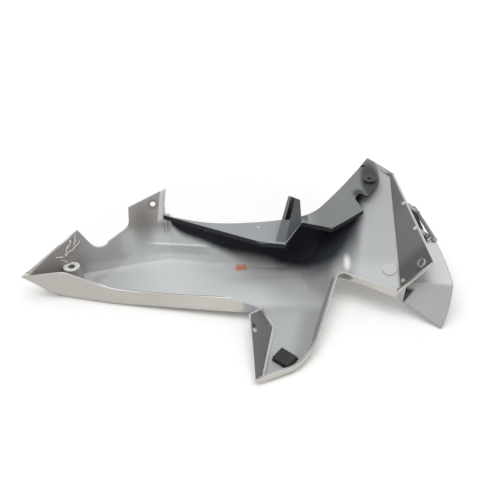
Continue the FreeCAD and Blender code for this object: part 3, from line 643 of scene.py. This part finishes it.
def add_wall_shades(look, at, color):
    """Shade on the walls of the wing and the arm and on the floor beside them."""
    beside = look.either(
        look.step(at.y, 0, -25), look.both(look.step(at.y, 25, 5), look.step(at.x, 142, 130))
    )
    wall = look.both(look.step(at.x, 70, 80), beside, look.step(at.nx, -0.12, -0.35))
    floor = look.spot(at.x, at.y, *FLOOR_SHADE, 0.6)
    arm_away = look.beyond(at.x, at.y, ARM_WALL_START, ARM_WALL_END)
    arm = look.both(look.step(arm_away, 34, 10), look.step(at.y, -45, -80))
    loss = look.either(
        look.math("MULTIPLY", wall, 0.4),
        look.math("MULTIPLY", floor, 0.27),
        look.math("MULTIPLY", arm, 0.32),
    )
    return look.shade(color, look.rest(loss))


def add_fixing_marks(look, at, color, lip):
    """Dark slot by the arm's hole, pale top of the tail's boss and dark lip of the wing."""
    slot = look.both(look.spot(at.x, at.y, *ARM_SLOT, 0.3), look.step(at.nz, 0.1, 0.3))
    color = look.cover(color, slot, SLOT_BLACK, 0.9)
    boss = look.both(look.spot(at.x, at.y, *TAIL_BOSS, 0.1), look.step(at.nz, 0.7, 0.9))
    color = look.mix(boss, color, look.mix(look.noise(260.0, 3.0), *BOSS_WHITE))
    return look.mix(lip, color, LIP_BLACK)


def add_overspray_and_shadow(look, at, color, spray_shadow):
    """Black overspray and painted shadow, then the painted highlight on the wing's fold and the orange dab
    over it.
    """
    # Black of the overspray and the painted shadow under the trim, paler towards the wing
    black = look.tint(look.mix(at.cloud, *SPRAY_SHADOW_BLACK), look.step(at.x, 90, 130), 1.8)
    color = look.mix(spray_shadow, color, black)
    # Painted highlight along the wing's fold
    color = look.cover(color, look.spot(at.x, at.y, *WING_FOLD_HIGHLIGHT, 0.9), FOLD_HIGHLIGHT_WHITE, 0.85)
    dab = look.either(look.spot(at.x, at.y, *DAB_LEFT, 0.35), look.spot(at.x, at.y, *DAB_RIGHT, 0.35))
    return look.mix(look.both(dab, look.step(at.z, 16, 12)), color, DAB_ORANGE)


def outer_paint(look, at):
    """Beige-grey, paler away from the tail, with a painted shadow in the dent by the wing."""
    color = look.tint(look.mix(at.cloud, *OUTER_BEIGE), look.step(at.x, -130, -20), 1.13)
    # Painted shadow in the dent by the wing
    dent_shadow = look.both(look.spot(at.x, at.z, *WING_DENT, 0.35), look.step(at.y, 5, -5))
    return look.cover(color, dent_shadow, DENT_SHADOW_BROWN, 0.8)


def add_rims(look, at, color, wing, lip, spray_shadow):
    """Painted highlights on the open rims, with a painted highlight line and a painted shade line along
    the near one.
    """
    reach = {"Distance": OPEN_REACH}
    open_edge = look.node("ShaderNodeAmbientOcclusion", reach, samples=OPEN_RAYS).outputs["AO"]
    back = look.both(look.step(at.x, -75, -85), look.step(at.near, 20, 30))
    # Painted highlight on open rims that face upwards
    edge = look.both(
        look.highlight_edge(PANEL_HIGHLIGHT_EDGE, 0.995, 0.93),
        look.step(at.nz, 0.2, 0.6),
        look.step(open_edge, 0.86, 0.95),
        look.blend(wing, 0.9, 0.3),
        look.blend(back, 1.0, 0.15),
        look.rest(spray_shadow),
        look.rest(lip),
    )
    color = look.mix(edge, color, RIM_HIGHLIGHT_WHITE)
    # Painted highlight line and painted shade line along the near rim
    top = look.both(look.step(at.x, 15, 11), look.step(at.nz, 0.4, 0.7), look.step(at.near, 6, 4))
    color = look.mix(look.both(top, look.band(at.near, *RIM_HIGHLIGHT_LINE)), color, PALE_RIM_HIGHLIGHT)
    return look.mix(look.both(top, look.band(at.near, *RIM_SHADE_LINE)), color, DARK_RIM_SHADE)


def panel_look():
    """Silver paint inside, beige-grey outside, with black overspray and painted shadow under the trim,
    painted shade and highlights, and scuffs.
    """
    look = Look("panel_paint")
    at = panel_places(look)
    outside = outer_side(look, at)
    wing = wing_flange(look, at)
    lip = wing_lip(look, at)
    spray_shadow = overspray_and_shadow(look, at)
    inner = inner_paint(look, at, wing, arm_flange(look, at))
    inner = add_tab_marks(look, at, inner)
    inner = add_wall_shades(look, at, inner)
    inner = add_fixing_marks(look, at, inner, lip)
    inner = add_overspray_and_shadow(look, at, inner, spray_shadow)
    color = look.mix(outside, inner, outer_paint(look, at))
    color = add_rims(look, at, color, wing, lip, spray_shadow)
    grain = look.noise(1500.0, 2.0)
    color = look.shade(color, look.blend(grain, 0.94, 1.06))
    matte_spray_shadow = look.both(spray_shadow, look.rest(outside))
    look.set(color=color, metal=look.blend(matte_spray_shadow, 0.06, 0.0), specular=look.blend(matte_spray_shadow, 0.5, 0.15))
    look.set(rough=look.blend(matte_spray_shadow, look.blend(at.cloud, 0.40, 0.50), 0.7))
    look.set(bump=look.bump(grain, 0.05, GRAIN_DEPTH, look.rounded(PANEL_ROUND)))
    return look


# Materials of the other pieces

def trim_look():
    """Grained dark plastic: grey on top, with painted shade on its upright sides and fin, darker round the
    fixing lobe, painted light in its hole and painted highlights on its edges.
    """
    look = Look("trim_plastic")
    x, y, z = look.millimetres()
    nz = look.split(look.normal)[2]
    cloud = look.noise(22.0, 5.0)
    top = look.step(nz, 0.55, 0.9)
    color = look.tint(look.mix(cloud, *TRIM_GREY), look.step(x, 95, 125), 0.62)
    # Darker round the fixing lobe, with painted shade in its hollow
    lobe = look.either(look.spot(x, y, *LOBE, 0.3), look.spot(x, y, *LOBE_HOLLOW, 0.5))
    color = look.tint(color, lobe, 0.26)
    # Painted shade: black on the upright sides, dark grey on the fin's sides
    fin = look.both(look.step(z, FIN_FOOT, FIN_FOOT + 1.5), look.step(x, 106, 102))
    side = look.mix(fin, look.mix(cloud, *TRIM_SIDE_SHADE), look.mix(cloud, *FIN_SIDE_SHADE))
    color = look.mix(look.both(top, look.rest(fin)), side, color)
    # Painted light inside the hole, for the light that shows through it
    hole_light = look.both(look.spot(x, y, *TRIM_HOLE, 0.05), look.step(nz, 0.6, 0.4))
    color = look.mix(hole_light, color, HOLE_LIGHT_WHITE)
    dust = look.step(look.noise(900.0, 2.0, 0.7), 0.70, 0.78)
    color = look.cover(color, dust, DUST_GREY, 0.2)
    # Painted highlight on upward edges
    edge = look.both(look.highlight_edge(TRIM_HIGHLIGHT_EDGE, 0.99, 0.90), look.step(nz, 0.2, 0.6))
    color = look.cover(color, edge, TRIM_EDGE_HIGHLIGHT, 0.3)
    look.set(color=color, rough=0.5, specular=0.35)
    look.set(bump=look.bump(look.noise(1700.0, 3.0), 0.12, GRAIN_DEPTH, look.rounded(TRIM_ROUND)))
    return look


def cowl_look():
    """Pale silver plastic, with painted shade below its fold and on its bar, and dark painted shade with
    speckles under the wing's lip.
    """
    look = Look("cowl_plastic")
    x, y, z = look.millimetres()
    cloud = look.noise(18.0, 4.0)
    # Painted shade on the facet below the fold, and on the bar
    color = look.tint(look.mix(cloud, *COWL_SILVER), look.step(z, 47, 42), 0.82)
    bar = look.both(look.step(y, 8, 12), look.step(x, 262, 266))
    color = look.tint(color, bar, 0.55)
    # Painted shade in the gap under the wing's lip, speckled for the foam in it
    speckle = look.step(look.noise(700.0, 2.0, 0.7), 0.60, 0.72)
    gap = look.step(look.beyond(x, z, COWL_HEEL, COWL_FOLD), 1.5, -1.0)
    color = look.mix(look.both(gap, look.step(z, 37, 33)), color, look.mix(speckle, *COWL_SPECKLE))
    look.set(color=color, metal=0.2, rough=look.blend(cloud, 0.3, 0.42))
    look.set(bump=look.bump(look.noise(1500.0, 2.0), 0.05, GRAIN_DEPTH, look.rounded(COWL_ROUND)))
    return look


def steel_look():
    look = Look("screw_steel")
    look.set(color=look.mix(look.noise(400.0), *STEEL), rough=0.25, metal=0.7)
    return look


def foam_look(name, colors, scale):
    """Open-celled foam with pale specks on its strands."""
    look = Look(name)
    cells = look.node("ShaderNodeTexVoronoi", {"Scale": scale, "Vector": look.place}).outputs["Distance"]
    color = look.mix(look.step(cells, 0.15, 0.6), *colors)
    specks = look.step(look.noise(scale * 0.9, 2.0, 0.7), 0.66, 0.74)
    look.set(color=look.cover(color, specks, SPECK_GREY, 0.45), rough=0.9, specular=0.2)
    look.set(bump=look.bump(cells, 0.6, CELL_DEPTH))
    return look


def glue_look():
    look = Look("dried_glue")
    look.set(color=look.mix(look.noise(700.0), *GLUE_WHITE), rough=0.4)
    return look


dress("outer_panel", panel_look())
dress("inner_trim", trim_look())
dress("nose_cowl", cowl_look())
dress("cowl_screws", steel_look())
mesh_foam = foam_look("mesh_foam", STRIP_BLACK, STRIP_CELLS)
pad_foam = foam_look("pad_foam", PAD_BLACK, PAD_CELLS)
dress("cowl_foam", mesh_foam)
dress("foam_pad", pad_foam)


# Soft pieces in place of the plain solids

def rough_copy(name, skin):
    """Copy of a CAD node's mesh with a soft, uneven skin."""
    voxel, lumps, strength = (size * MM for size in skin)
    piece = bpy.data.objects.new(name + "_soft", nodes[name].data.copy())
    link(piece)
    remesh = piece.modifiers.new("remesh", "REMESH")
    remesh.mode = "VOXEL"
    remesh.voxel_size = voxel
    texture = bpy.data.textures.new(name + "_lumps", "CLOUDS")
    texture.noise_scale = lumps
    displace = piece.modifiers.new("displace", "DISPLACE")
    displace.texture = texture
    displace.strength = strength
    displace.mid_level = 1.0
    mesh = bpy.data.meshes.new_from_object(piece.evaluated_get(bpy.context.evaluated_depsgraph_get()))
    bpy.data.objects.remove(piece)
    shade_smooth(mesh)
    return mesh


def cut_seam(mesh, slope, middle, half, depth):
    """Groove round a pad, level with its foot, where its two layers of foam meet."""
    mesh.update()
    for vertex in mesh.vertices:
        x, y, z = vertex.co
        away = abs(z - slope[0] * x - slope[1] * y - middle) / half
        if away < 1.0 and abs(vertex.normal.z) < PAD_SIDE:
            vertex.co -= vertex.normal * depth * (1.0 - away)


def replace_soft(name, mesh, look):
    """Soft piece that is seen in place of a node."""
    piece = add_piece(name + "_soft", mesh, look)
    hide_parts(name)
    return piece


replace_soft("cowl_foam", rough_copy("cowl_foam", STRIP_SKIN), mesh_foam)
pad_mesh = rough_copy("foam_pad", PAD_SKIN)
cut_seam(pad_mesh, PAD_SLOPE, PAD_SEAM * MM, PAD_SEAM_HALF * MM, PAD_SEAM_DEPTH * MM)
replace_soft("foam_pad", pad_mesh, pad_foam)


# Glue strands on the tail's flap

def strand_places(strand, chance):
    """Places and normals on the flap along one strand."""
    places = []
    for (u0, v0), (u1, v1) in zip(strand, strand[1:]):
        for k in range(GLUE_PLACES):
            share = k / GLUE_PLACES
            wobble = chance.uniform(-GLUE_WOBBLE, GLUE_WOBBLE)
            place, normal = on_panel(u0 + (u1 - u0) * share + wobble, v0 + (v1 - v0) * share + wobble)
            if place is not None:
                places.append((place, normal))
    return places


def add_strand(mesh, places, chance):
    """Closed tube of uneven thickness along places."""
    rings = []
    for i, (place, normal) in enumerate(places):
        before = places[max(i - 1, 0)][0]
        after = places[min(i + 1, len(places) - 1)][0]
        side = normal.cross(after - before).normalized()
        radius = chance.uniform(*GLUE_RADII) * MM
        ring = []
        for turn in range(GLUE_SIDES):
            angle = turn * math.tau / GLUE_SIDES
            offset = side * math.cos(angle) + normal * (GLUE_LIFT + math.sin(angle))
            ring.append(mesh.verts.new(place + offset * radius))
        rings.append(ring)
    for first, second in zip(rings, rings[1:]):
        for turn in range(GLUE_SIDES):
            other = (turn + 1) % GLUE_SIDES
            mesh.faces.new((first[turn], first[other], second[other], second[turn]))
    if rings:
        mesh.faces.new(rings[0][::-1])
        mesh.faces.new(rings[-1])


def glue_mesh():
    """Thin uneven tubes of dried glue that lie on the flap."""
    chance = random.Random(GLUE_SEED)
    mesh = bmesh.new()
    for strand in GLUE_STRANDS:
        add_strand(mesh, strand_places(strand, chance), chance)
    mesh.normal_update()
    made = bpy.data.meshes.new("glue_strands")
    mesh.to_mesh(made)
    mesh.free()
    shade_smooth(made)
    return made


add_piece("glue_strands", glue_mesh(), glue_look())


# Stage: floor, world and lamp

def floor_look():
    """Pale floor that is seen as white, more so away from the part, and keeps the part's shadow."""
    look = Look("floor_white")
    seen = look.node("ShaderNodeLightPath").outputs["Is Camera Ray"]
    x, y, _ = look.split(look.place)
    glow = look.blend(look.step(look.distance(x, y), *GLOW_RADII), *GLOW_LEVELS)
    look.set(color=look.mix(seen, FLOOR_LIT, FLOOR_SEEN), rough=0.8, specular=0.0)
    look.put(look.shader.inputs["Emission Color"], WHITE)
    look.put(look.shader.inputs["Emission Strength"], look.both(seen, glow))
    return look


def make_floor():
    low = cad_box[0].z - FLOOR_DROP
    corners = [(x * FLOOR_HALF, y * FLOOR_HALF, low) for x, y in ((-1, -1), (1, -1), (1, 1), (-1, 1))]
    mesh = bpy.data.meshes.new("floor")
    mesh.from_pydata(corners, [], [(0, 1, 2, 3)])
    paint(mesh, floor_look())
    floor = bpy.data.objects.new("floor", mesh)
    link(floor)


def make_world():
    """Soft room: brighter overhead than at the sides, and plain white behind the part."""
    world = bpy.data.worlds.new("studio")
    world.use_nodes = True
    bpy.context.scene.world = world
    tree = world.node_tree
    tree.nodes.clear()
    output = tree.nodes.new("ShaderNodeOutputWorld")
    back = tree.nodes.new("ShaderNodeBackground")
    coords = tree.nodes.new("ShaderNodeTexCoord")
    split = tree.nodes.new("ShaderNodeSeparateXYZ")
    height = tree.nodes.new("ShaderNodeMapRange")
    path = tree.nodes.new("ShaderNodeLightPath")
    pick = tree.nodes.new("ShaderNodeMix")
    pick.data_type = "FLOAT"
    for socket, value in zip(height.inputs[1:5], ROOM_HEIGHTS + ROOM_LEVELS):
        socket.default_value = value
    pick.inputs[3].default_value = 1.0
    back.inputs[0].default_value = WHITE
    tree.links.new(coords.outputs["Generated"], split.inputs[0])
    tree.links.new(split.outputs[2], height.inputs[0])
    tree.links.new(path.outputs["Is Camera Ray"], pick.inputs[0])
    tree.links.new(height.outputs[0], pick.inputs[2])
    tree.links.new(pick.outputs[0], back.inputs[1])
    tree.links.new(back.outputs[0], output.inputs[0])


def make_lamp():
    data = bpy.data.lights.new("top_lamp", "AREA")
    data.shape = "SQUARE"
    data.size = LAMP_SIZE
    data.energy = LAMP_POWER
    lamp = bpy.data.objects.new("top_lamp", data)
    lamp.location = LAMP_PLACE
    lamp.rotation_mode = "QUATERNION"
    lamp.rotation_quaternion = (LAMP_TARGET - LAMP_PLACE).to_track_quat("-Z", "Y")
    link(lamp)


make_floor()
make_world()
make_lamp()
bpy.context.scene.view_settings.view_transform = "Standard"
